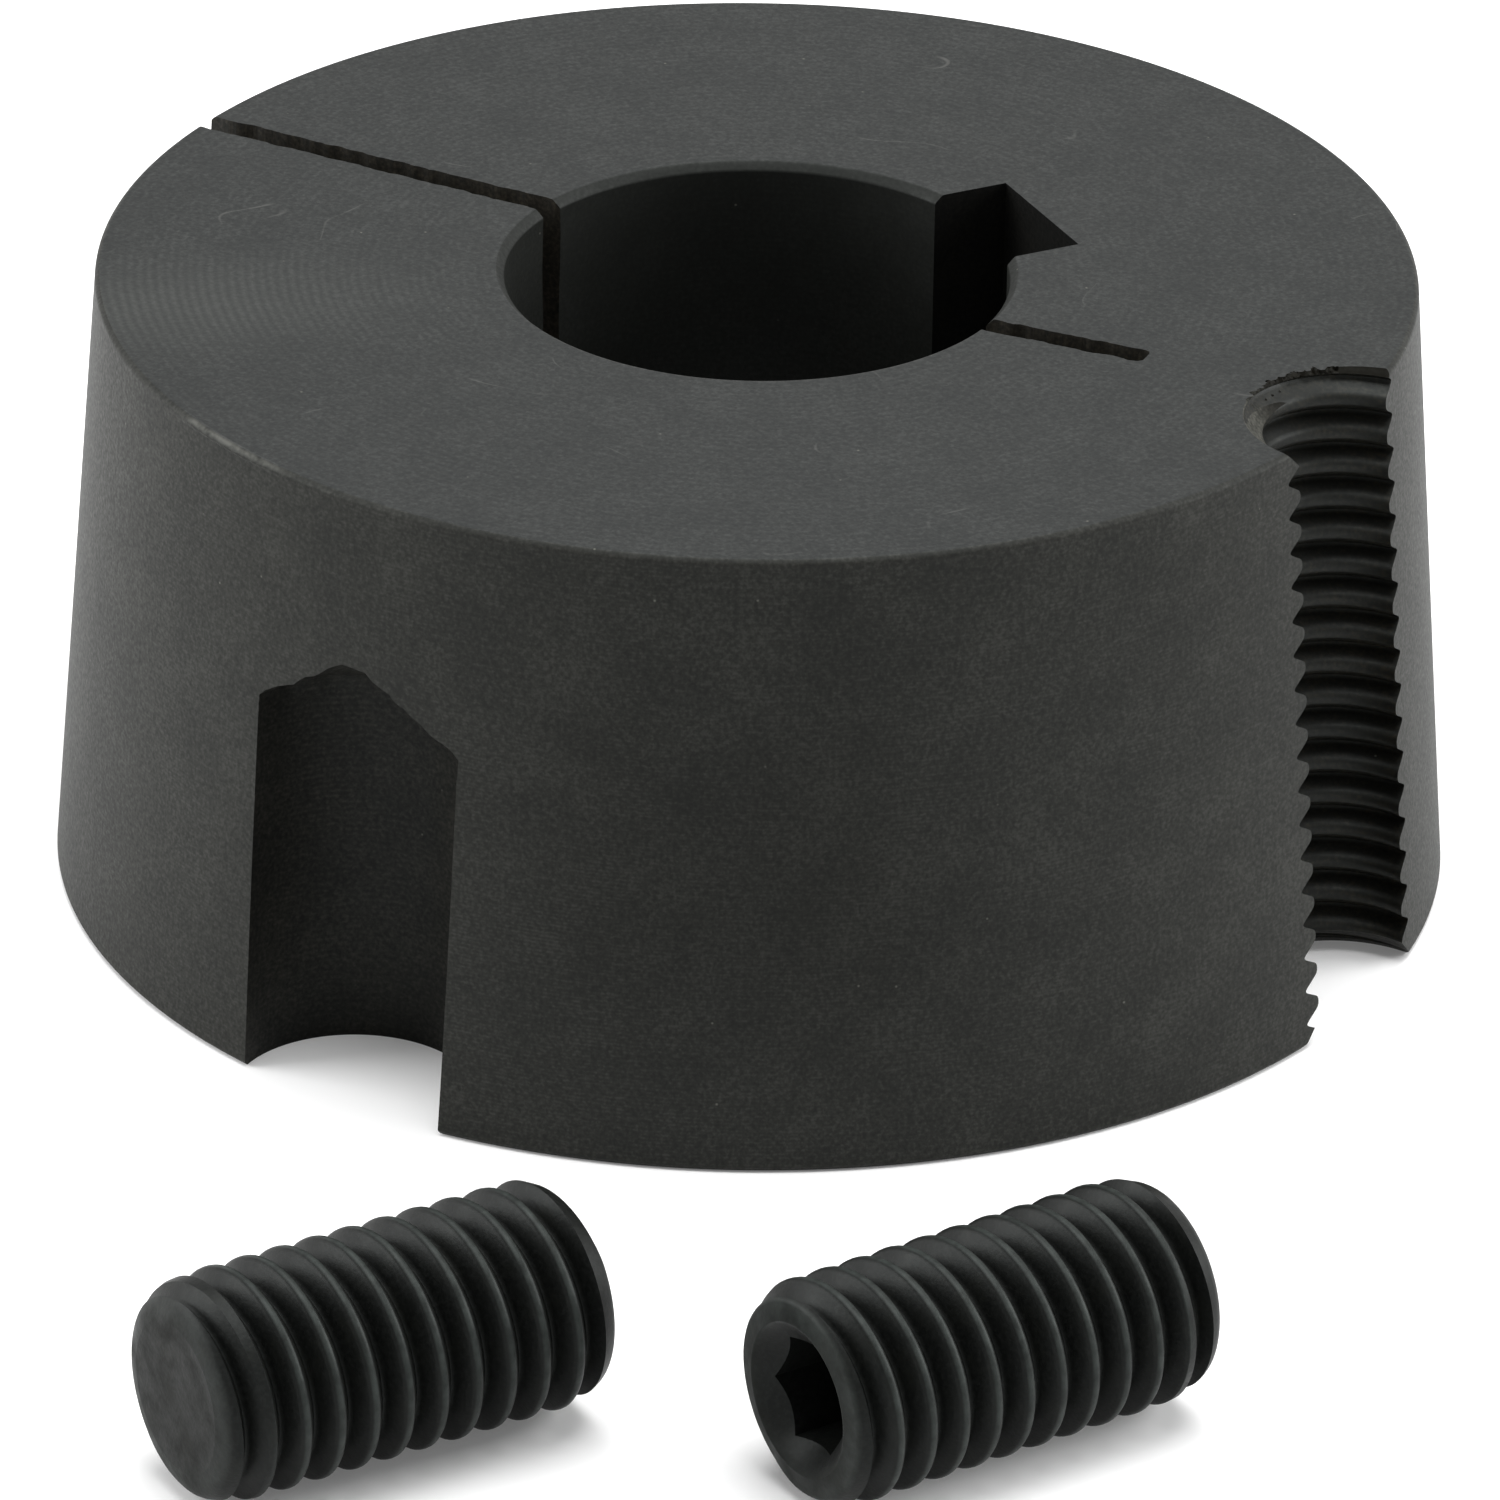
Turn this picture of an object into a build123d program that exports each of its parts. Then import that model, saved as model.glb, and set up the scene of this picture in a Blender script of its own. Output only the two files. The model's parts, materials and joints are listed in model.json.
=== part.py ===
from build123d import *

import os
from math import cos, radians, sin, tan

# A split taper bush that clamps a pulley or gear hub to a shaft, with its two grub screws lying
# beside it. Millimetres. The origin is the centre of the bore on the large-end face, and +Z runs
# up the bore to the small end, so the bush stands on its large end. +X passes through the jacking
# hole, and the split is opposite, at -X. Angles are in degrees about +Z, counted from +X.

# Turned body
large_end_diameter = 69.85
bush_length = 31.8
taper_half_angle = 4.0
large_end_break = 0.25
small_end_break = 0.2
bore_diameter = 25.0
bore_chamfer = 0.4

# Keyway, broached along the bore
keyway_angle = 54.9
keyway_width = 8.0
keyway_depth = 3.3

# Split, sawn through one side of the wall and set off to one side of the axis
split_angle = 180.0
split_width = 1.4
split_offset = 1.25

# Relief slit, sawn from the bore towards the jacking hole, so that the bush can close
relief_angle = 4.6
relief_width = 1.35
relief_offset = -0.97
relief_depth = 8.75

# Half-holes along the taper. The other half of each hole is in the hub. Two plain ones take the
# clamping screws and are blind, and the jacking hole is tapped right through.
hole_inset = 1.585
clamp_hole_diameter = 11.9
clamp_hole_depth = 19.9
clamp_hole_angle = 96.2
drill_point_angle = 118.0
drill_web = 1.4
jacking_hole_diameter = 9.4
jacking_sink_diameter = 11.35
jacking_sink_angle = 90.0

# Grub screws: a hexagon socket in a dished end, and a flat point at the other
screw_diameter = 10.9
screw_length = 20.8
screw_point_diameter = 8.6
screw_point_bevel = 1.2
screw_rim_diameter = 9.2
screw_rim_bevel = 1.5
screw_rim_width = 0.35
socket_dish_angle = 120.0
socket_across_flats = 5.0
socket_depth = 5.0

# Where the screws lie beside the bush. The first one's middle is set out from the bush's axis,
# and the second lies next to it, a step nearer the bush.
screw_rest_angle = -76.9
screw_rest_gap = 18.4
screw_side_gap = 3.2
screw_stagger = 24.5
left_screw_heading = 60.5
right_screw_heading = 62.9
socket_turn = 6.5

large_end_radius = large_end_diameter / 2
bore_radius = bore_diameter / 2
hole_circle_radius = large_end_radius - hole_inset
clamp_hole_radius = clamp_hole_diameter / 2
screw_radius = screw_diameter / 2


def taper_radius(height):
    """Radius of the tapered outside at a height above the large end."""
    return large_end_radius - height * tan(radians(taper_half_angle))


def outward(angle):
    """Level unit vector at an angle about the bush's axis."""
    return Vector(cos(radians(angle)), sin(radians(angle)), 0)


def cut_slot(angle, reach, width, offset=0):
    """Cut a straight slot from the axis out to a reach, the whole length of the bush."""
    with BuildSketch(Plane.XY.rotated((0, 0, angle))) as slot:
        with Locations((0, offset)):
            Rectangle(reach, width, align=(Align.MIN, Align.CENTER))
    extrude(slot.sketch, amount=bush_length, mode=Mode.SUBTRACT)


def cut_drilled_hole(angle, radius, depth):
    """Cut a blind hole with a drill point, up from the large end along the hole circle."""
    centre = outward(angle) * hole_circle_radius
    web_radius = drill_web / 2
    point_height = (radius - web_radius) / tan(radians(drill_point_angle / 2))
    upright = Plane(origin=centre, x_dir=outward(angle), z_dir=outward(angle - 90))
    with BuildSketch(upright) as drill:
        with BuildLine():
            Polyline(
                (0, 0),
                (radius, 0),
                (radius, depth),
                (web_radius, depth + point_height),
                (0, depth + point_height),
                close=True,
            )
        make_face()
    revolve(drill.sketch, axis=Axis(centre, (0, 0, 1)), mode=Mode.SUBTRACT)


os.makedirs("parts", exist_ok=True)

with BuildPart() as bush:
    # Turned blank: the taper outside, the bore inside, and a broken edge at each corner
    with BuildSketch(Plane.XZ):
        with BuildLine():
            Polyline(
                (bore_radius + bore_chamfer, 0),
                (large_end_radius - large_end_break, 0),
                (taper_radius(large_end_break), large_end_break),
                (taper_radius(bush_length - small_end_break), bush_length - small_end_break),
                (taper_radius(bush_length) - small_end_break, bush_length),
                (bore_radius + bore_chamfer, bush_length),
                (bore_radius, bush_length - bore_chamfer),
                (bore_radius, bore_chamfer),
                close=True,
            )
        make_face()
    revolve(axis=Axis.Z)

    # Half-holes: what is drilled on the hole circle leaves a little under half in the bush
    for side in (-1, 1):
        cut_drilled_hole(side * clamp_hole_angle, clamp_hole_radius, clamp_hole_depth)
    with Locations((hole_circle_radius, 0, bush_length)):
        CounterSinkHole(
            radius=jacking_hole_diameter / 2,
            counter_sink_radius=jacking_sink_diameter / 2,
            counter_sink_angle=jacking_sink_angle,
        )

    # Keyway, split and relief slit
    cut_slot(keyway_angle, bore_radius + keyway_depth, keyway_width)
    cut_slot(split_angle, large_end_diameter, split_width, -split_offset)
    cut_slot(relief_angle, bore_radius + relief_depth, relief_width, relief_offset)

bush.part.label = "bush"
export_step(bush.part, "parts/bush.step")

# Each screw lies on the same level as the bush's large end. Its heading is the way its axis runs
# from the end that faces away from the bush to the end that faces it.
along_left = outward(left_screw_heading)
left_middle = outward(screw_rest_angle) * (large_end_radius + screw_length / 2 + screw_rest_gap)
right_middle = (
    left_middle
    + outward(left_screw_heading - 90) * (screw_diameter + screw_side_gap)
    + along_left * screw_stagger
)
screw_rests = {
    # name: (middle, heading from its point end to its socket end)
    "grub_screw_left": (left_middle, left_screw_heading),
    "grub_screw_right": (right_middle, right_screw_heading + 180),
}

for name, (middle, heading) in screw_rests.items():
    point_end = middle - outward(heading) * (screw_length / 2) + Vector(0, 0, screw_radius)
    lying = Plane(origin=point_end, x_dir=outward(heading), z_dir=outward(heading - 90))
    dish_radius = screw_rim_diameter / 2 - screw_rim_width
    dish_depth = dish_radius / tan(radians(socket_dish_angle / 2))
    with BuildPart() as grub_screw:
        # Turned blank, from the axis of the point end round to the bottom of the dish
        with BuildSketch(lying):
            with BuildLine():
                Polyline(
                    (0, 0),
                    (0, screw_point_diameter / 2),
                    (screw_point_bevel, screw_radius),
                    (screw_length - screw_rim_bevel, screw_radius),
                    (screw_length, screw_rim_diameter / 2),
                    (screw_length, dish_radius),
                    (screw_length - dish_depth, 0),
                    close=True,
                )
            make_face()
        revolve(axis=Axis(point_end, outward(heading)))

        # Hexagon socket, with the cone that its pilot drill leaves at the bottom
        socket_mouth = Plane(
            origin=point_end + outward(heading) * screw_length,
            x_dir=outward(heading - 90),
            z_dir=outward(heading),
        )
        with BuildSketch(socket_mouth):
            RegularPolygon(socket_across_flats / 2, 6, major_radius=False, rotation=socket_turn)
        extrude(amount=-socket_depth, mode=Mode.SUBTRACT)
        with BuildSketch(lying):
            with BuildLine():
                pilot_point = socket_across_flats / 2 / tan(radians(drill_point_angle / 2))
                Polyline(
                    (screw_length - socket_depth, 0),
                    (screw_length - socket_depth, socket_across_flats / 2),
                    (screw_length - socket_depth - pilot_point, 0),
                    close=True,
                )
            make_face()
        revolve(axis=Axis(point_end, outward(heading)), mode=Mode.SUBTRACT)
    grub_screw.part.label = name
    export_step(grub_screw.part, f"parts/{name}.step")
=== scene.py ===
import json
from math import atan2, cos, pi, radians, sin, tan

import bpy
from mathutils import Euler, Matrix, Vector


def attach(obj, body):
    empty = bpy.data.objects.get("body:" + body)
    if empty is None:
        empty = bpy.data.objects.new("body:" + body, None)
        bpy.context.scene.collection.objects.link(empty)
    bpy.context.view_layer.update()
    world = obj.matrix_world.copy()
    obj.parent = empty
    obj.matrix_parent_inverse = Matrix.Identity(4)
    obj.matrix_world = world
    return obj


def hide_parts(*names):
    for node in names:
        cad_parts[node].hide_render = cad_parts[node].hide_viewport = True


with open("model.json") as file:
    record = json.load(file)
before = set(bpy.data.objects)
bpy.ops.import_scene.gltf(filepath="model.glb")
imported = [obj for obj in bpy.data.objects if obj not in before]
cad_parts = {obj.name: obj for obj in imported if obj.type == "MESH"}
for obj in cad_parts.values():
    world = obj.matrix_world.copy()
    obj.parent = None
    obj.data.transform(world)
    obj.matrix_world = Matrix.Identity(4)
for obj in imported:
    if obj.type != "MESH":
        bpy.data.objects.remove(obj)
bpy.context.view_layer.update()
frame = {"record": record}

# A split taper bush standing on its large end, with its two grub screws lying in front of it.
# Sizes are in metres. The bush's axis is Z, the jacking hole is at +X and the split at -X.

MM = 0.001
MICRON = 0.000001
MERGE = 0.5 * MICRON
mounts = {mount["name"]: mount for mount in frame["record"]["mounts"]}

# Bush: the sizes of the turned body, and the rounding that tumbling leaves on its corners
bush_length = mounts["small_end_face"]["pos_m"][2]
large_end_radius = 34.925 * MM
taper = tan(radians(4.0))
large_end_break = 0.25 * MM
small_end_break = 0.2 * MM
bore_radius = mounts["shaft_bore"]["dims"]["r_mm"] * MM
bore_chamfer = 0.4 * MM
corner_rounding = 0.1 * MM
turning_steps = 360
bush_crease = radians(32)
facing_feed = 0.5
# The faced end's painted highlight streak runs outwards along this angle
highlight_streak_angle = radians(-141)
burr_angle = radians(-112)
burr_half_length = 8
burr_reach = 0.09 * MM
burr_depth = 0.12 * MM
burr_width = 0.28 * MM

# Keyway, split and relief slit
keyway_angle = radians(54.9)
keyway_width = 8.0 * MM
keyway_floor = bore_radius + 3.3 * MM
split_width = 1.4 * MM
split_offset = 1.25 * MM
relief_angle = radians(4.6)
relief_width = 1.35 * MM
relief_offset = -0.97 * MM
relief_end = bore_radius + 8.75 * MM
relief_nose_rounding = 0.28 * MM
blade_step = 0.3 * MM
blade_rows = 24
split_tooth_step = 0.7 * MM
relief_tooth_step = 0.5 * MM
saw_unevenness = 0.3 * MM

# Half-holes
clamp_hole_radius = 5.95 * MM
clamp_hole_depth = 19.9 * MM
drill_web_radius = 0.7 * MM
drill_lip_steps = 12
drill_steps = 100
drill_grain = 0.8 * MM
drill_unevenness = 0.45 * MM
drill_point_slope = tan(radians(118.0 / 2))
jacking_sink_radius = 5.675 * MM
jacking_foot_break = 0.3 * MM
foot_steps = 90

# Where the countersink's rim tore, as angles about the jacking hole, and how coarsely
torn_from = radians(128)
torn_to = radians(193)
torn_height = 0.45 * MM
torn_grain = 0.35 * MM
torn_unevenness = 0.7 * MM

# Thread of 14 turns per inch, with the rounded crests of a rolled or tapped thread. Each form goes
# over one pitch, as (share of the pitch, share of the depth).
pitch = 25.4 * MM / 14
winding_steps = 72
tapped_minor_radius = 4.7 * MM
tapped_major_radius = 5.65 * MM
tapped_form = (
    (0.0, 0.0), (0.08, 0.015), (0.15, 0.08), (0.21, 0.22), (0.41, 0.84), (0.455, 0.95), (0.5, 1.0),
)
tapped_groove_height = 0.77 * MM
rolled_root_radius = 4.35 * MM
rolled_crest_radius = 5.45 * MM
rolled_form = (
    (0.0, 1.0), (0.07, 0.985), (0.13, 0.92), (0.18, 0.81), (0.40, 0.16), (0.45, 0.04), (0.5, 0.0),
)

# Grub screws, from the point end up to the socket end
screw_length = 20.8 * MM
screw_radius = rolled_crest_radius
point_outline = (
    (0.0, 3.7), (0.012, 3.8), (0.07, 4.12), (0.15, 4.42), (0.27, 4.68), (0.42, 4.86), (0.62, 4.98),
    (1.37, 5.28), (2.5, 5.43), (3.2, 5.5),
)
rim_outline = (
    (1.5, 5.5), (0.9, 5.2), (0.38, 4.94), (0.24, 4.84), (0.15, 4.74), (0.11, 4.62), (0.02, 3.9),
    (0.0, 3.82), (0.0, 3.76), (0.03, 3.7), (0.08, 3.64),
)
dish_slope = tan(radians(100.0 / 2))
socket_across_flats = 5.0 * MM
socket_depth = 5.0 * MM
socket_turn = radians(6.5)
pilot_share = 0.96
screw_steps = 96
pilot_steps = 48
screw_crease = radians(35)

# Where the screws lie: the first one's middle is set out from the bush's axis, and the second lies
# next to it, a step nearer the bush
screw_rest_angle = radians(-76.9)
screw_rest_gap = 18.4 * MM
screw_side_gap = 3.2 * MM
screw_stagger = 24.5 * MM
left_screw_heading = radians(60.5)
right_screw_heading = radians(62.9)
left_thread_start = 1.65 * MM
right_thread_start = 0.98 * MM


# Modelling

def begin(name, add, **settings):
    """Add a primitive with nothing else selected, with its place in its mesh."""
    bpy.ops.object.select_all(action="DESELECT")
    add(**settings)
    piece = bpy.context.active_object
    piece.name = piece.data.name = name
    bpy.ops.object.transform_apply(location=True, rotation=True, scale=True)
    return piece


def work_on(piece):
    """Make a piece the only one selected."""
    bpy.ops.object.select_all(action="DESELECT")
    piece.select_set(True)
    bpy.context.view_layer.objects.active = piece


def edit(piece, *steps):
    """Do steps in edit mode on all of a piece."""
    work_on(piece)
    bpy.ops.object.mode_set(mode="EDIT")
    bpy.ops.mesh.select_all(action="SELECT")
    for step, settings in steps:
        step(**settings)
    bpy.ops.object.mode_set(mode="OBJECT")


def place(piece, matrix):
    """Put a piece somewhere, and keep the place in its mesh."""
    work_on(piece)
    piece.matrix_world = matrix
    bpy.ops.object.transform_apply(location=True, rotation=True, scale=True)


def draw(name, outline):
    """Draw a chain of edges in the XZ plane through (radius, height) points, edge by edge."""
    chain = begin(name, bpy.ops.mesh.primitive_plane_add, size=MM)
    points = [Vector((radius, 0, height)) for radius, height in outline]
    bpy.ops.object.mode_set(mode="EDIT")
    bpy.ops.mesh.select_all(action="SELECT")
    bpy.ops.mesh.merge(type="CENTER")
    bpy.ops.transform.translate(value=points[0])
    for here, there in zip(points, points[1:]):
        bpy.ops.mesh.extrude_region_move(TRANSFORM_OT_translate={"value": there - here})
    bpy.ops.object.mode_set(mode="OBJECT")
    return chain


def turn(name, outline, steps):
    """Spin an outline of (radius, height) points about Z into a closed solid."""
    solid = draw(name, outline)
    edit(
        solid,
        (bpy.ops.mesh.spin, {
            "steps": steps, "angle": 2 * pi, "center": (0, 0, 0), "axis": (0, 0, 1),
        }),
        (bpy.ops.mesh.select_all, {"action": "SELECT"}),
        (bpy.ops.mesh.remove_doubles, {"threshold": MERGE}),
        (bpy.ops.mesh.normals_make_consistent, {"inside": False}),
    )
    return solid


def round_corners(outline, rounding, cuts=4):
    """Replace each corner of a closed outline by a short curve."""
    rounded = []
    for index, corner in enumerate(outline):
        corner = Vector(corner)
        before = Vector(outline[index - 1]) - corner
        after = Vector(outline[(index + 1) % len(outline)]) - corner
        reach = min(rounding, before.length / 2.2, after.length / 2.2)
        start = corner + before.normalized() * reach
        end = corner + after.normalized() * reach
        for cut in range(cuts + 1):
            share = cut / cuts
            first = start.lerp(corner, share)
            second = corner.lerp(end, share)
            rounded.append(first.lerp(second, share))
    return rounded


def wind(name, form, low_radius, high_radius, low_end, high_end, start):
    """Wind a thread form about Z into a right-hand threaded rod, and cut the rod to length.

    The form's first point is at the start height on the +X side.
    """
    whole = list(form) + [(1 - share, depth) for share, depth in reversed(form[:-1])]
    turns = int((high_end - low_end) / pitch) + 4
    first = start - pitch * int((start - low_end) / pitch + 3)
    depth = high_radius - low_radius
    rod = draw(name, [(low_radius + depth * deep, first + pitch * share) for share, deep in whole])
    bpy.ops.object.modifier_add(type="SCREW")
    winding = rod.modifiers[-1]
    winding.axis = "Z"
    winding.angle = 2 * pi
    winding.screw_offset = pitch
    winding.iterations = turns
    winding.steps = winding.render_steps = winding_steps
    winding.use_merge_vertices = False
    bpy.ops.object.modifier_apply(modifier=winding.name)
    edit(
        rod,
        (bpy.ops.mesh.remove_doubles, {"threshold": MERGE}),
        (bpy.ops.mesh.bisect, {
            "plane_co": (0, 0, low_end), "plane_no": (0, 0, -1),
            "use_fill": True, "clear_outer": True, "threshold": MERGE,
        }),
        (bpy.ops.mesh.select_all, {"action": "SELECT"}),
        (bpy.ops.mesh.bisect, {
            "plane_co": (0, 0, high_end), "plane_no": (0, 0, 1),
            "use_fill": True, "clear_outer": True, "threshold": MERGE,
        }),
        (bpy.ops.mesh.select_all, {"action": "SELECT"}),
        (bpy.ops.mesh.normals_make_consistent, {"inside": False}),
    )
    return rod


def combine(piece, tool, operation, finish=None):
    """Cut a piece with a tool that leaves its own finish, or keep what they have in common."""
    if finish:
        tool.data.materials.append(finish)
    work_on(piece)
    bpy.ops.object.modifier_add(type="BOOLEAN")
    cut = piece.modifiers[-1]
    cut.operation = operation
    cut.solver = "EXACT"
    cut.material_mode = "TRANSFER"
    cut.object = tool
    bpy.ops.object.modifier_apply(modifier=cut.name)
    bpy.data.objects.remove(tool)


def roughen(tool, grain_size, unevenness, is_rough=None):
    """Make a tool uneven all over, or at those of its corners that pass a test."""
    work_on(tool)
    grain = bpy.data.textures.new(tool.name + "_grain", "CLOUDS")
    grain.noise_scale = grain_size
    grain.noise_depth = 2
    bpy.ops.object.modifier_add(type="DISPLACE")
    wander = tool.modifiers[-1]
    wander.texture = grain
    wander.strength = unevenness
    wander.mid_level = 0.5
    if is_rough:
        rough = tool.vertex_groups.new(name="rough")
        rough.add([v.index for v in tool.data.vertices if is_rough(v.co)], 1.0, "REPLACE")
        wander.vertex_group = rough.name
    bpy.ops.object.modifier_apply(modifier=wander.name)
    # Flat triangles, because a bent quad can leave doubled slivers in what it cuts
    edit(tool, (bpy.ops.mesh.quads_convert_to_tris, {}))


def round_nose(blade, reach, rounding):
    """Round the two upright corners that a blade ends in."""
    edit(blade, (bpy.ops.mesh.select_all, {"action": "DESELECT"}))
    for edge in blade.data.edges:
        low, high = (blade.data.vertices[index].co for index in edge.vertices)
        edge.select = min(low.x, high.x) > reach - MICRON and abs(low.z - high.z) > MICRON
    bpy.context.tool_settings.mesh_select_mode = (False, True, False)
    bpy.ops.object.mode_set(mode="EDIT")
    bpy.ops.mesh.bevel(offset=rounding, segments=4)
    bpy.ops.object.mode_set(mode="OBJECT")
    bpy.context.tool_settings.mesh_select_mode = (True, False, False)


def saw_blade(name, reach, width, tooth_step, nose_rounding=0.0):
    """A slab along +X, as high as the bush and more, with the uneven sides that a saw leaves."""
    over = 3 * MM
    # Roughened while it is low and then stretched, so that the marks run up the cut
    stretch = 7
    height = (bush_length + 2 * over) / stretch
    blade = begin(
        name, bpy.ops.mesh.primitive_grid_add, size=1,
        x_subdivisions=int(reach / blade_step), y_subdivisions=blade_rows,
    )
    edit(
        blade,
        (bpy.ops.transform.resize, {"value": (reach, height, 1)}),
        (bpy.ops.transform.translate, {"value": (reach / 2, 0, -width / 2)}),
        (bpy.ops.mesh.extrude_region_move, {"TRANSFORM_OT_translate": {"value": (0, 0, width)}}),
        (bpy.ops.mesh.select_all, {"action": "SELECT"}),
        (bpy.ops.mesh.normals_make_consistent, {"inside": False}),
    )
    place(blade, Matrix.Rotation(pi / 2, 4, "X"))
    if nose_rounding:
        round_nose(blade, reach, nose_rounding)
    roughen(blade, tooth_step, saw_unevenness)
    place(blade, Matrix.Translation((0, 0, bush_length / 2)) @ Matrix.Scale(stretch, 4, (0, 0, 1)))
    return blade


def smooth(piece, angle):
    """Shade a piece smooth, but for edges sharper than an angle and for its level faces."""
    level = 0.9999
    work_on(piece)
    bpy.ops.object.shade_smooth_by_angle(angle=angle)
    for face in piece.data.polygons:
        if abs(face.normal.z) > level:
            face.use_smooth = False


def coat(piece, material, is_coated=None):
    """Give a material to a piece, or to those of its faces that pass a test."""
    if material.name not in piece.data.materials:
        piece.data.materials.append(material)
    index = piece.data.materials.find(material.name)
    for face in piece.data.polygons:
        if is_coated is None or is_coated(face):
            face.material_index = index


def raise_burr(bush):
    """Drag the small end's edge out into a thin lip along a short arc, most in its middle."""
    work_on(bush)
    column = 2 * pi / turning_steps
    middle = round(burr_angle / column)
    for step in range(-burr_half_length, burr_half_length + 1):
        angle = (middle + step) * column
        outwards = Vector((cos(angle), sin(angle), 0))
        edit(bush, (bpy.ops.mesh.select_all, {"action": "DESELECT"}))
        for vertex in bush.data.vertices:
            level = Vector((vertex.co.x, vertex.co.y, 0))
            high = vertex.co.z > bush_length - small_end_break - burr_depth
            aside = (level - outwards * radius_at(bush_length)).length
            vertex.select = high and aside < burr_width
        share = cos(step / burr_half_length * pi / 2) ** 0.5
        bpy.ops.object.mode_set(mode="EDIT")
        bpy.ops.transform.translate(value=(outwards + Vector((0, 0, 0.5))) * burr_reach * share)
        bpy.ops.object.mode_set(mode="OBJECT")


def is_at_drill_point(corner):
    """Whether a corner of the clamping half-holes' drill is at its point, which leaves a burr."""
    return corner.z > clamp_hole_depth - MM


def is_torn(corner):
    """Whether a corner of the countersink's tool is where the rim tore."""
    angle = atan2(corner.y, corner.x) % (2 * pi)
    return torn_from < angle < torn_to and abs(corner.z - bush_length) < torn_height


def radius_at(height):
    """Radius of the tapered outside at a height."""
    return large_end_radius - taper * height


def make_bush():
    """Turn the body, then broach, drill, tap and saw it in the order of its making."""
    lip = 0.5 * MM
    end_radius = radius_at(bush_length)
    bush = turn("taper_bush_body", close_loop(round_corners([
        (bore_radius + bore_chamfer, 0),
        (large_end_radius - large_end_break, 0),
        (radius_at(large_end_break), large_end_break),
        (radius_at(bush_length - lip), bush_length - lip),
        (radius_at(bush_length - small_end_break), bush_length - small_end_break),
        (end_radius - small_end_break, bush_length),
        (end_radius - lip, bush_length),
        (bore_radius + bore_chamfer, bush_length),
        (bore_radius, bush_length - bore_chamfer),
        (bore_radius, bore_chamfer),
    ], corner_rounding)), turning_steps)
    raise_burr(bush)
    coat(bush, turned_iron)
    coat(bush, faced_iron, lambda face: abs(face.normal.z) > 0.9)
    coat(bush, bored_iron_painted_shade, lambda face: face.center.xy.length < bore_radius + bore_chamfer)

    over = 3 * MM
    key = begin(
        "key", bpy.ops.mesh.primitive_cube_add, size=1,
        location=(keyway_floor / 2, 0, bush_length / 2),
        scale=(keyway_floor, keyway_width, bush_length + 2 * over),
    )
    place(key, Matrix.Rotation(keyway_angle, 4, "Z"))
    combine(bush, key, "DIFFERENCE", broached_iron_painted_shade)

    lip_run = clamp_hole_radius - drill_web_radius
    point_height = lip_run / drill_point_slope
    for name in ("clamp_screw_half_hole_1", "clamp_screw_half_hole_2"):
        lips = [
            (
                clamp_hole_radius - lip_run * step / drill_lip_steps,
                clamp_hole_depth + point_height * step / drill_lip_steps,
            )
            for step in range(1, drill_lip_steps + 1)
        ]
        drill = turn("drill", [
            (0, -over),
            (clamp_hole_radius, -over),
            (clamp_hole_radius, clamp_hole_depth - 1.2 * MM),
            (clamp_hole_radius, clamp_hole_depth - 0.6 * MM),
            (clamp_hole_radius - 0.03 * MM, clamp_hole_depth - 0.1 * MM),
            *lips,
            (0, clamp_hole_depth + point_height),
        ], drill_steps)
        roughen(drill, drill_grain, drill_unevenness, is_at_drill_point)
        place(drill, Matrix.Translation(mounts[name]["pos_m"]))
        combine(bush, drill, "DIFFERENCE", drilled_iron)

    jacking_axis = Matrix.Translation(mounts["jacking_half_hole"]["pos_m"])
    tap = wind(
        "tap", tapped_form, tapped_minor_radius, tapped_major_radius,
        -over, bush_length + over, tapped_groove_height,
    )
    place(tap, jacking_axis)
    combine(bush, tap, "DIFFERENCE", tapped_iron_painted_shade)
    rim = [
        (jacking_sink_radius + rise * torn_height, bush_length + rise * torn_height)
        for rise in (-1.2, -1.0, -0.8, -0.6, -0.4, -0.2, 0.0, 0.2, 0.4, 0.6)
    ]
    sink = turn("sink", [
        (0, bush_length - jacking_sink_radius),
        *rim,
        (jacking_sink_radius + over, bush_length + over),
        (0, bush_length + over),
    ], turning_steps)
    roughen(sink, torn_grain, torn_unevenness, is_torn)
    place(sink, jacking_axis)
    combine(bush, sink, "DIFFERENCE", burnished_iron_painted_sheen)
    foot = tapped_major_radius + jacking_foot_break
    foot_sink = turn("foot_sink", [(0, foot), (foot + over, -over), (0, -over)], foot_steps)
    place(foot_sink, jacking_axis)
    combine(bush, foot_sink, "DIFFERENCE", tapped_iron_painted_shade)

    split = saw_blade("split", 2 * large_end_radius, split_width, split_tooth_step)
    place(split, Matrix.Rotation(pi, 4, "Z") @ Matrix.Translation((0, -split_offset, 0)))
    combine(bush, split, "DIFFERENCE", sawn_iron)
    relief = saw_blade(
        "relief", relief_end, relief_width, relief_tooth_step, relief_nose_rounding,
    )
    towards_jacking_hole = Matrix.Rotation(relief_angle, 4, "Z")
    place(relief, towards_jacking_hole @ Matrix.Translation((0, relief_offset, 0)))
    combine(bush, relief, "DIFFERENCE", sawn_iron)

    smooth(bush, bush_crease)
    return bush


def close_loop(outline):
    """Bring an outline back to where it starts."""
    return list(outline) + [outline[0]]


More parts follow.
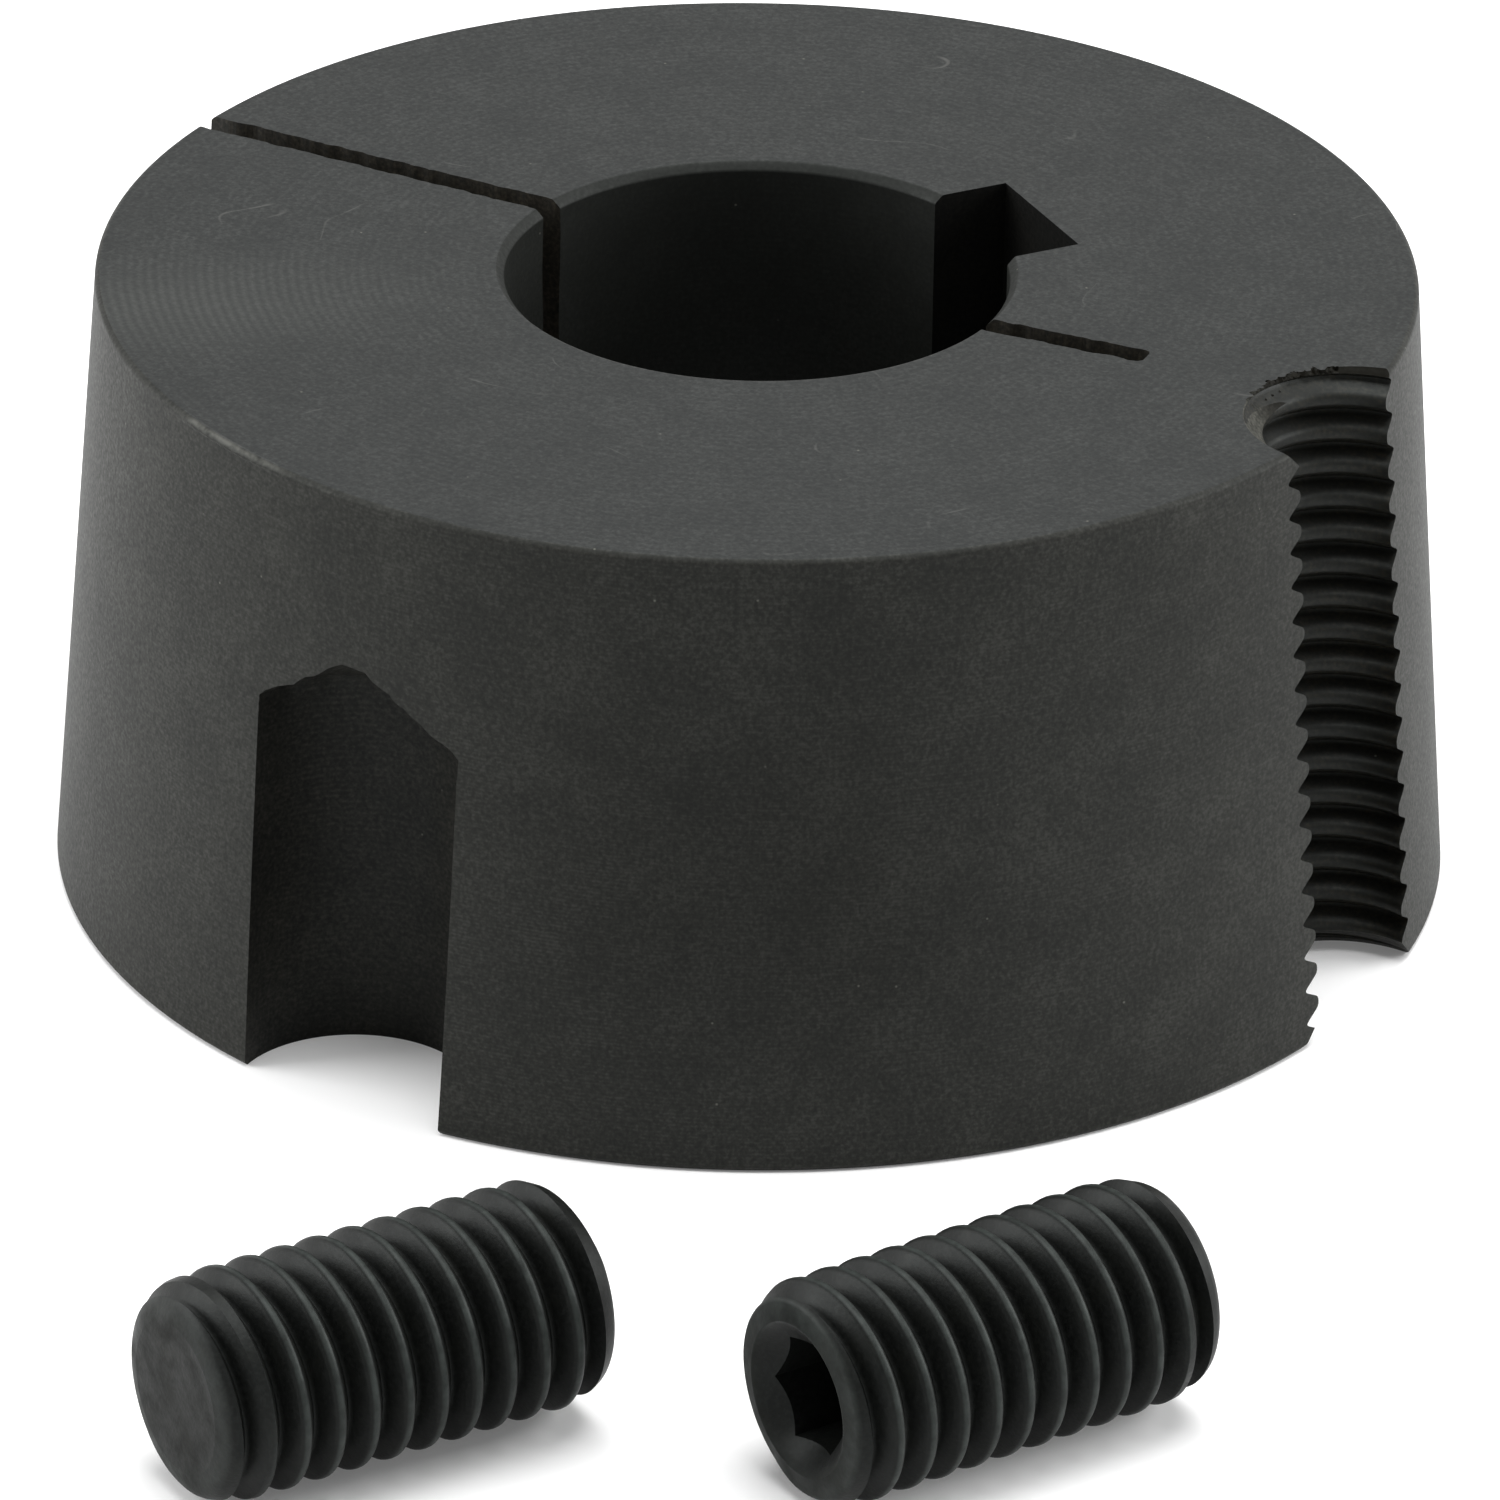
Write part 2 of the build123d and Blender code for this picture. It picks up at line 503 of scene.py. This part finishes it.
def make_screw(name, thread_start):
    """Roll the thread, turn both ends and broach the socket. The point end is at Z = 0."""
    over = 2 * MM
    screw = wind(
        name, rolled_form, rolled_root_radius, rolled_crest_radius,
        -over, screw_length + over, thread_start,
    )
    rim_radius = rim_outline[-1][1] * MM
    rim_height = screw_length - rim_outline[-1][0] * MM
    blank = turn("blank", [
        (0, 0),
        *[(radius * MM, height * MM) for height, radius in point_outline],
        *[(radius * MM, screw_length - height * MM) for height, radius in rim_outline],
        (0, rim_height - rim_radius / dish_slope),
    ], screw_steps)
    combine(screw, blank, "INTERSECT")

    flat_radius = socket_across_flats / 2
    broach = begin(
        "broach", bpy.ops.mesh.primitive_cylinder_add, vertices=6,
        radius=flat_radius / cos(pi / 6), depth=socket_depth + over,
        location=(0, 0, screw_length - socket_depth + (socket_depth + over) / 2),
    )
    place(broach, Matrix.Rotation(socket_turn, 4, "Z"))
    combine(screw, broach, "DIFFERENCE")
    pilot_radius = pilot_share * flat_radius
    pilot = turn("pilot", [
        (0, screw_length - socket_depth - pilot_radius / drill_point_slope),
        (pilot_radius, screw_length - socket_depth),
        (pilot_radius, screw_length - socket_depth + MM),
        (0, screw_length - socket_depth + MM),
    ], pilot_steps)
    combine(screw, pilot, "DIFFERENCE")
    smooth(screw, screw_crease)
    screw.data.materials.clear()
    coat(screw, blackened_steel)
    own = screw.data.attributes.new("place_on_screw", "FLOAT_VECTOR", "POINT")
    for vertex, value in zip(screw.data.vertices, own.data):
        value.vector = vertex.co / MM
    return screw


def lie(screw, middle, heading):
    """Lay a screw on the floor with its middle over a point and its socket end on a heading."""
    along = Vector((cos(heading), sin(heading), 0))
    up = Vector((0, 0, 1))
    across = along.cross(up)
    turned = Matrix((up, across, along)).transposed().to_4x4()
    point_end = middle - along * screw_length / 2 + up * screw_radius
    place(screw, Matrix.Translation(point_end) @ turned)


# Finishes

# Sockets of a Mix node that mixes colours
MIX_SHARE, MIX_UNDER, MIX_OVER, MIXED = 0, 6, 7, 2

# Sizes in the finishes are in millimetres
crystal_size = 0.22
crystal_height = 0.0026
screw_grain_height = 0.012
noise_roughness = 0.6
# Where the painted shade on the countersink's far wall is centred
rim_shade_angle = radians(138)
rim_shade_depth = 0.9
# The oil in both coats throws a faintly green light back
oil_sheen = "#f8fffc"


def linear(hex_colour):
    """Linear colour from an sRGB hex value."""
    shades = [int(hex_colour[i:i + 2], 16) / 255 for i in (1, 3, 5)]
    return (*[s / 12.92 if s <= 0.04045 else ((s + 0.055) / 1.055) ** 2.4 for s in shades], 1)


def new_material(name):
    """A material with nothing in it, and its node tree."""
    material = bpy.data.materials.new(name)
    material.use_nodes = True
    material.node_tree.nodes.clear()
    return material, material.node_tree


def add(tree, kind, sockets=(), output=0, stops=(), **settings):
    """Add a node with its settings, set or link its sockets, and give back one of its outputs."""
    node = tree.nodes.new(kind)
    for name, value in settings.items():
        setattr(node, name, value)
    for socket, value in dict(sockets).items():
        if isinstance(value, bpy.types.NodeSocket):
            tree.links.new(value, node.inputs[socket])
        else:
            node.inputs[socket].default_value = linear(value) if isinstance(value, str) else value
    for index, (position, colour) in enumerate(stops):
        if index > 1:
            node.color_ramp.elements.new(position)
        node.color_ramp.elements[index].position = position
        node.color_ramp.elements[index].color = linear(colour)
    return node.outputs[output]


def rub_and_highlight_burred_edge(tree, where, colour):
    """Rub the coat thin along the edge of the small end where the burr stands, and paint a
    highlight along it in the same paler colour.
    """
    end_radius = radius_at(bush_length) / MM
    burr = (cos(burr_angle) * end_radius, sin(burr_angle) * end_radius, bush_length / MM)
    spot = add(tree, "ShaderNodeVectorMath", {0: where, 1: burr}, operation="SUBTRACT")
    turned_spot = add(tree, "ShaderNodeMapping", {"Vector": spot, "Rotation": (0, 0, -burr_angle)})
    outward = add(tree, "ShaderNodeSeparateXYZ", {0: turned_spot}, "X")
    along = add(tree, "ShaderNodeSeparateXYZ", {0: turned_spot}, "Y")
    up = add(tree, "ShaderNodeSeparateXYZ", {0: turned_spot}, "Z")
    along_squared = add(tree, "ShaderNodeMath", {0: along, 1: along}, operation="MULTIPLY")
    bowed = add(tree, "ShaderNodeMath", {
        0: along_squared, 1: 0.5 / end_radius, 2: outward,
    }, operation="MULTIPLY_ADD")
    from_edge = add(tree, "ShaderNodeVectorMath", {
        0: add(tree, "ShaderNodeCombineXYZ", {0: bowed, 2: up}),
    }, "Value", operation="LENGTH")
    near = add(tree, "ShaderNodeMapRange", {
        "Value": from_edge, "From Min": 0.22, "From Max": 0.05,
    })
    length = add(tree, "ShaderNodeMath", {0: along}, operation="ABSOLUTE")
    within = add(tree, "ShaderNodeMapRange", {"Value": length, "From Min": 5.0, "From Max": 3.0})
    patches = add(tree, "ShaderNodeTexNoise", {
        "Vector": where, "Scale": 1 / 0.9, "Detail": 3, "Roughness": noise_roughness,
    })
    uneven = add(tree, "ShaderNodeMapRange", {"Value": patches, "From Min": 0.35, "From Max": 0.6})
    rub = add(tree, "ShaderNodeMath", {0: near, 1: within}, operation="MULTIPLY")
    rub = add(tree, "ShaderNodeMath", {0: rub, 1: uneven}, operation="MULTIPLY")
    # Paler along the burred edge: rubbed coat and painted highlight together
    return add(tree, "ShaderNodeMix", {
        MIX_SHARE: rub, MIX_UNDER: colour, MIX_OVER: "#50504c",
    }, MIXED, data_type="RGBA")


def scratch_by_handling(tree, where, colour):
    """Hair scratches, short and faint."""
    curl = add(tree, "ShaderNodeTexNoise", {
        "Vector": where, "Scale": 1 / 9.0, "Detail": 1, "Roughness": noise_roughness,
    })
    from_line = add(tree, "ShaderNodeMath", {0: curl, 1: 0.47}, operation="SUBTRACT")
    from_line = add(tree, "ShaderNodeMath", {0: from_line}, operation="ABSOLUTE")
    hair = add(tree, "ShaderNodeMapRange", {
        "Value": from_line, "From Min": 0.0035, "From Max": 0.001, "To Max": 0.35,
    })
    patches = add(tree, "ShaderNodeTexNoise", {
        "Vector": where, "Scale": 1 / 5.0, "Detail": 2, "Roughness": noise_roughness,
    })
    short = add(tree, "ShaderNodeMapRange", {"Value": patches, "From Min": 0.58, "From Max": 0.66})
    return add(tree, "ShaderNodeMix", {
        MIX_SHARE: add(tree, "ShaderNodeMath", {0: hair, 1: short}, operation="MULTIPLY"),
        MIX_UNDER: colour, MIX_OVER: "#5a5a57",
    }, MIXED, data_type="RGBA")


def paint_shade_under_torn_rim(tree, where, colour):
    """Painted shade, dark brown, on the far wall of the countersink under the torn part of its
    rim.
    """
    rim_radius = jacking_sink_radius / MM
    tear = (
        mounts["jacking_half_hole"]["pos_m"][0] / MM + cos(rim_shade_angle) * rim_radius,
        sin(rim_shade_angle) * rim_radius,
        bush_length / MM - rim_shade_depth,
    )
    from_tear = add(tree, "ShaderNodeVectorMath", {
        0: where, 1: tear,
    }, "Value", operation="DISTANCE")
    return add(tree, "ShaderNodeMix", {
        MIX_SHARE: add(tree, "ShaderNodeMapRange", {
            "Value": from_tear, "From Min": 5.7, "From Max": 3.4, "To Max": 0.92,
        }),
        MIX_UNDER: colour, MIX_OVER: "#0d0b07",
    }, MIXED, data_type="RGBA")


def phosphated_iron(name, tool, spacing, depth, shades, roughness=0.54, shine=0.5, touches=()):
    """Manganese phosphate and oil on cut grey cast iron: matt grey-black, of fine crystals.

    The oil between the crystals lets the light in, so the coat reflects less than bare crystal.
    Under it the tool's marks show, so many millimetres apart and deep: rings, lines round an
    axis, or strokes along it. The crystals are drawn coarser than real ones, so that they show.
    The touches are functions that lay marks over the colour: what handling and use have left, and
    painted highlight and painted shade.
    """
    material, tree = new_material(name)
    in_metres = add(tree, "ShaderNodeTexCoord", output="Object")
    where = add(tree, "ShaderNodeMapping", {
        "Vector": in_metres, "Scale": (1 / MM, 1 / MM, 1 / MM),
    })
    crystals = add(tree, "ShaderNodeTexNoise", {
        "Vector": where, "Scale": 1 / crystal_size, "Detail": 3, "Roughness": noise_roughness,
    })
    clouds = add(tree, "ShaderNodeTexNoise", {
        "Vector": where, "Scale": 1 / 3.5, "Detail": 4, "Roughness": noise_roughness,
    })
    blend = add(tree, "ShaderNodeMix", {0: 0.3, 2: crystals, 3: clouds})
    colour = add(tree, "ShaderNodeValToRGB", {"Fac": blend}, stops=zip((0.38, 0.5, 0.64), shades))

    if tool == "strokes":
        strokes = add(tree, "ShaderNodeMapping", {"Vector": where, "Scale": (1, 1, 0.06)})
        marks = add(tree, "ShaderNodeTexNoise", {
            "Vector": strokes, "Scale": 1 / spacing, "Detail": 3, "Roughness": noise_roughness,
        })
    else:
        marks = add(
            tree, "ShaderNodeTexWave", {
                "Vector": where, "Scale": pi / (10 * spacing),
                "Distortion": 0.8, "Detail": 2, "Detail Scale": 0.7,
            }, "Fac", wave_type="RINGS" if tool == "rings" else "BANDS",
            rings_direction="Z", bands_direction="Z",
        )
    if tool == "rings":
        # A paler streak outwards, a painted highlight where the facing rings catch the left lamp;
        # the rings' marks are drawn stronger towards it too
        turned_place = add(tree, "ShaderNodeMapping", {
            "Vector": where, "Rotation": (0, 0, -highlight_streak_angle),
        })
        outward = add(tree, "ShaderNodeSeparateXYZ", {0: turned_place}, "X")
        across = add(tree, "ShaderNodeSeparateXYZ", {0: turned_place}, "Y")
        aside = add(tree, "ShaderNodeMath", {0: across}, operation="ABSOLUTE")
        streak = add(tree, "ShaderNodeMath", {
            0: add(tree, "ShaderNodeMapRange", {
                "Value": aside, "From Min": 8.0, "From Max": 0.0,
            }, interpolation_type="SMOOTHSTEP"),
            1: add(tree, "ShaderNodeMapRange", {
                "Value": outward, "From Min": 13.0, "From Max": 27.0,
            }),
        }, operation="MULTIPLY")
        patchy = add(tree, "ShaderNodeMapRange", {
            "Value": outward, "From Min": -8.0, "From Max": 24.0, "To Min": 0.85, "To Max": 1.0,
        })
        colour = add(tree, "ShaderNodeMix", {
            MIX_SHARE: add(tree, "ShaderNodeMath", {0: streak, 1: 0.6}, operation="MULTIPLY"),
            MIX_UNDER: colour, MIX_OVER: "#343533",
        }, MIXED, data_type="RGBA")
    else:
        chatter = add(tree, "ShaderNodeTexNoise", {
            "Vector": where, "Scale": 1 / 6.0, "Detail": 2, "Roughness": noise_roughness,
        })
        patchy = add(tree, "ShaderNodeMapRange", {
            "Value": chatter, "From Min": 0.35, "From Max": 0.65, "To Min": 0.35,
        })
    marks = add(tree, "ShaderNodeMath", {0: marks, 1: patchy}, operation="MULTIPLY")
    colour = add(tree, "ShaderNodeMix", {
        MIX_SHARE: add(tree, "ShaderNodeMath", {0: marks, 1: 0.5}, operation="MULTIPLY"),
        MIX_UNDER: colour, MIX_OVER: shades[0],
    }, MIXED, data_type="RGBA")

    # Crystals that stand out and catch the light, a few to the square centimetre
    from_crystal = add(tree, "ShaderNodeTexVoronoi", {"Vector": where, "Scale": 0.42}, "Distance")
    colour = add(tree, "ShaderNodeMix", {
        MIX_SHARE: add(tree, "ShaderNodeMapRange", {
            "Value": from_crystal, "From Min": 0.034, "From Max": 0.012,
        }),
        MIX_UNDER: colour, MIX_OVER: "#55554f",
    }, MIXED, data_type="RGBA")
    for touch in touches:
        colour = touch(tree, where, colour)

    height = add(tree, "ShaderNodeMath", {
        0: crystals, 1: crystal_height,
    }, operation="MULTIPLY")
    height = add(tree, "ShaderNodeMath", {0: marks, 1: depth, 2: height}, operation="MULTIPLY_ADD")
    shader = add(tree, "ShaderNodeBsdfPrincipled", {
        "Base Color": colour, "IOR": 1.3, "Specular IOR Level": shine, "Specular Tint": oil_sheen,
        "Roughness": add(tree, "ShaderNodeMapRange", {
            "Value": crystals, "From Min": 0.3, "From Max": 0.7,
            "To Min": roughness + 0.06, "To Max": roughness - 0.06,
        }),
        "Normal": add(tree, "ShaderNodeBump", {"Height": height, "Strength": 1.0, "Distance": MM}),
    })
    surface = tree.nodes.new("ShaderNodeOutputMaterial")
    tree.links.new(shader, surface.inputs["Surface"])
    return material


def black_oxide_steel():
    """Black oxide on a rolled screw, lightly oiled: near black, rubbed pale on the crests, with a
    painted highlight there.
    """
    material, tree = new_material("blackened_steel")
    on_screw = add(tree, "ShaderNodeAttribute", output="Vector", attribute_name="place_on_screw")
    grain = add(tree, "ShaderNodeTexNoise", {
        "Vector": on_screw, "Scale": 1 / 0.22, "Detail": 3, "Roughness": noise_roughness,
    })
    stains = add(tree, "ShaderNodeTexNoise", {
        "Vector": on_screw, "Scale": 1 / 1.6, "Detail": 3, "Roughness": noise_roughness,
    })
    colour = add(tree, "ShaderNodeValToRGB", {"Fac": grain}, stops=zip(
        (0.35, 0.5, 0.65), ("#0a0b0a", "#0f100f", "#161716"),
    ))
    colour = add(tree, "ShaderNodeMix", {
        MIX_SHARE: add(tree, "ShaderNodeMapRange", {
            "Value": stains, "From Min": 0.5, "From Max": 0.7, "To Max": 0.4,
        }),
        MIX_UNDER: colour, MIX_OVER: "#1a1b18",
    }, MIXED, data_type="RGBA")

    # Crests of the thread and the corners of both ends, where the oxide is rubbed through, drawn
    # paler as worn steel and as a painted highlight
    level = add(tree, "ShaderNodeMapping", {"Vector": on_screw, "Scale": (1, 1, 0)})
    off_axis = add(tree, "ShaderNodeVectorMath", {0: level}, "Value", operation="LENGTH")
    crest_radius = rolled_crest_radius / MM
    crest = add(tree, "ShaderNodeMapRange", {
        "Value": off_axis, "From Min": crest_radius - 0.07, "From Max": crest_radius - 0.01,
    })
    up_screw = add(tree, "ShaderNodeSeparateXYZ", {0: on_screw}, "Z")
    middle = screw_length / MM / 2
    from_middle = add(tree, "ShaderNodeMath", {0: up_screw, 1: middle}, operation="SUBTRACT")
    from_middle = add(tree, "ShaderNodeMath", {0: from_middle}, operation="ABSOLUTE")
    at_end = add(tree, "ShaderNodeMapRange", {
        "Value": from_middle, "From Min": middle - 0.35, "From Max": middle - 0.1,
    })
    outer = add(tree, "ShaderNodeMapRange", {
        "Value": off_axis, "From Min": 3.2, "From Max": 4.8, "To Max": 0.8,
    })
    corner = add(tree, "ShaderNodeMath", {0: at_end, 1: outer}, operation="MULTIPLY")
    patches = add(tree, "ShaderNodeTexNoise", {
        "Vector": on_screw, "Scale": 1 / 0.7, "Detail": 5, "Roughness": noise_roughness,
    })
    uneven = add(tree, "ShaderNodeMapRange", {
        "Value": patches, "From Min": 0.36, "From Max": 0.68, "To Min": 0.35,
    })
    worn_and_highlight = add(tree, "ShaderNodeMath", {0: crest, 1: corner}, operation="MAXIMUM")
    worn_and_highlight = add(tree, "ShaderNodeMath", {0: worn_and_highlight, 1: uneven}, operation="MULTIPLY", use_clamp=True)
    colour = add(tree, "ShaderNodeMix", {
        MIX_SHARE: worn_and_highlight, MIX_UNDER: colour, MIX_OVER: "#313533",
    }, MIXED, data_type="RGBA")

    # Dried oil on the flat ends
    dried = add(tree, "ShaderNodeTexNoise", {
        "Vector": on_screw, "Scale": 1 / 2.2, "Detail": 5, "Roughness": noise_roughness,
    })
    dried = add(tree, "ShaderNodeMapRange", {
        "Value": dried, "From Min": 0.35, "From Max": 0.7, "To Max": 0.3,
    })
    dried = add(tree, "ShaderNodeMath", {0: at_end, 1: dried}, operation="MULTIPLY")
    colour = add(tree, "ShaderNodeMix", {
        MIX_SHARE: dried, MIX_UNDER: colour, MIX_OVER: "#1b1a17",
    }, MIXED, data_type="RGBA")
    roughness = add(tree, "ShaderNodeMapRange", {
        "Value": stains, "From Min": 0.3, "From Max": 0.7, "To Min": 0.46, "To Max": 0.38,
    })
    height = add(tree, "ShaderNodeMath", {
        0: grain, 1: screw_grain_height,
    }, operation="MULTIPLY")
    shader = add(tree, "ShaderNodeBsdfPrincipled", {
        "Base Color": colour, "IOR": 1.33, "Specular IOR Level": 0.22, "Specular Tint": oil_sheen,
        "Roughness": add(tree, "ShaderNodeMath", {0: roughness, 1: dried}, operation="ADD"),
        "Normal": add(tree, "ShaderNodeBump", {"Height": height, "Strength": 1.0, "Distance": MM}),
    })
    surface = tree.nodes.new("ShaderNodeOutputMaterial")
    tree.links.new(shader, surface.inputs["Surface"])
    return material


turned_iron = phosphated_iron(
    "turned_iron", "lines", 0.2, 0.0008, ("#191917", "#232320", "#31312e"), shine=0.34,
    touches=(rub_and_highlight_burred_edge,),
)
faced_iron = phosphated_iron(
    "faced_iron", "rings", facing_feed, 0.0025, ("#111212", "#1a1b1a", "#282928"),
    touches=(scratch_by_handling, rub_and_highlight_burred_edge),
)
# The bore takes darker shades than the outside: painted shade inside it
bored_iron_painted_shade = phosphated_iron(
    "bored_iron_painted_shade", "lines", 0.3, 0.0015, ("#111210", "#171816", "#1f201e"), shine=0.34,
)
# The keyway is darker still: painted shade in it
broached_iron_painted_shade = phosphated_iron(
    "broached_iron_painted_shade", "strokes", 0.35, 0.02, ("#0b0b0a", "#10100f", "#171614"), 0.62, 0.13,
)
drilled_iron = phosphated_iron(
    "drilled_iron", "lines", 0.3, 0.004, ("#171716", "#22221f", "#302f2b"), 0.5, 0.24,
)
# The tapped half-hole takes darker shades than the outside: painted shade in its thread
tapped_iron_painted_shade = phosphated_iron(
    "tapped_iron_painted_shade", "lines", 0.4, 0.006, ("#0a0a08", "#131310", "#221f18"), 0.46, 0.4,
)
sawn_iron = phosphated_iron(
    "sawn_iron", "strokes", 0.4, 0.06, ("#151411", "#25221d", "#3a362e"),
)
# The countersink is burnished and pale, its colour also standing in for the right lamp's
# reflection on its near wall as a painted reflection; its far wall takes painted shade
burnished_iron_painted_sheen = phosphated_iron(
    "burnished_iron_painted_sheen", "lines", 0.25, 0.008, ("#2a2a27", "#3c3c38", "#51504b"), 0.5, 0.1,
    touches=(paint_shade_under_torn_rim,),
)
blackened_steel = black_oxide_steel()

# Pieces

bush = make_bush()

along_left = Vector((cos(left_screw_heading), sin(left_screw_heading), 0))
beside_left = Vector((sin(left_screw_heading), -cos(left_screw_heading), 0))
screw_distance = large_end_radius + screw_length / 2 + screw_rest_gap
left_middle = Vector((cos(screw_rest_angle), sin(screw_rest_angle), 0)) * screw_distance
right_middle = (
    left_middle + beside_left * (2 * screw_radius + screw_side_gap) + along_left * screw_stagger
)
left_screw = make_screw("left_grub_screw", left_thread_start)
lie(left_screw, left_middle, left_screw_heading)
right_screw = make_screw("right_grub_screw", right_thread_start)
lie(right_screw, right_middle, right_screw_heading + pi)

for piece, node, slot in (
    (bush, "bush", "phosphated_iron"),
    (left_screw, "grub_screw_left", "blackened_steel"),
    (right_screw, "grub_screw_right", "blackened_steel"),
):
    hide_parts(node)
    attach(piece, "root")


# Studio: a pale floor in a white tent, and three large soft lamps

# Plain white to the camera, and matt where the light falls, so that it keeps its shadow
floor = begin("floor", bpy.ops.mesh.primitive_plane_add, size=6, location=(0, 0, -10 * MICRON))
paper, tree = new_material("white_floor")
matt = add(tree, "ShaderNodeBsdfDiffuse", {"Color": (0.9, 0.9, 0.9, 1)})
seen = add(tree, "ShaderNodeLightPath", output="Is Camera Ray")
mirrored = add(tree, "ShaderNodeLightPath", output="Is Glossy Ray")
shows = add(tree, "ShaderNodeMath", {0: seen, 1: mirrored}, operation="MAXIMUM")
lit = add(tree, "ShaderNodeEmission", {"Strength": 0.12})
glow = add(tree, "ShaderNodeMixShader", {0: shows, 2: lit})
surface = tree.nodes.new("ShaderNodeOutputMaterial")
tree.links.new(add(tree, "ShaderNodeAddShader", {0: matt, 1: glow}), surface.inputs["Surface"])
floor.data.materials.append(paper)

# A dim tent that lights the pieces, seen by the camera and in reflections as plain white
world = bpy.data.worlds.new("studio")
bpy.context.scene.world = world
world.use_nodes = True
tree = world.node_tree
tree.nodes.clear()
seen = add(tree, "ShaderNodeLightPath", output="Is Camera Ray")
mirrored = add(tree, "ShaderNodeLightPath", output="Is Glossy Ray")
shows = add(tree, "ShaderNodeMath", {0: seen, 1: mirrored}, operation="MAXIMUM")
tent = add(tree, "ShaderNodeBackground", {"Color": (1, 1, 1, 1), "Strength": 0.22})
white = add(tree, "ShaderNodeBackground", {"Color": (1, 1, 1, 1), "Strength": 1.0})
surface = tree.nodes.new("ShaderNodeOutputWorld")
backdrop = add(tree, "ShaderNodeMixShader", {0: shows, 1: tent, 2: white})
tree.links.new(backdrop, surface.inputs["Surface"])


def soft_lamp(name, place_at, size, power):
    """A square soft box that points at the bush."""
    light = bpy.data.lights.new(name, "AREA")
    light.size = size
    light.energy = power
    lamp = bpy.data.objects.new(name, light)
    bpy.context.scene.collection.objects.link(lamp)
    lamp.location = place_at
    lamp.rotation_euler = (-Vector(place_at)).to_track_quat("-Z", "Y").to_euler()


soft_lamp("overhead_box", (0.0, 0.1, 1.1), 0.9, 15.6)
soft_lamp("left_box", (-1.03, -0.46, 0.5), 0.8, 13.6)
soft_lamp("right_box", (0.9, 0.66, 0.5), 0.8, 13.2)

# Camera: a long lens, well off and looking down on the pieces
camera = bpy.data.cameras.new("camera")
camera.sensor_width = 36
camera.lens = 317.3
camera.clip_start = 0.01
eye = bpy.data.objects.new("camera", camera)
bpy.context.scene.collection.objects.link(eye)
eye.location = (0.28429, -0.52037, 0.30779)
aim = Euler((radians(90 - 27.0456), 0, radians(28.65))).to_matrix()
eye.rotation_euler = (aim @ Matrix.Rotation(radians(0.8245), 3, "Z")).to_euler()
bpy.context.scene.camera = eye
bpy.context.scene.view_settings.view_transform = "Standard"
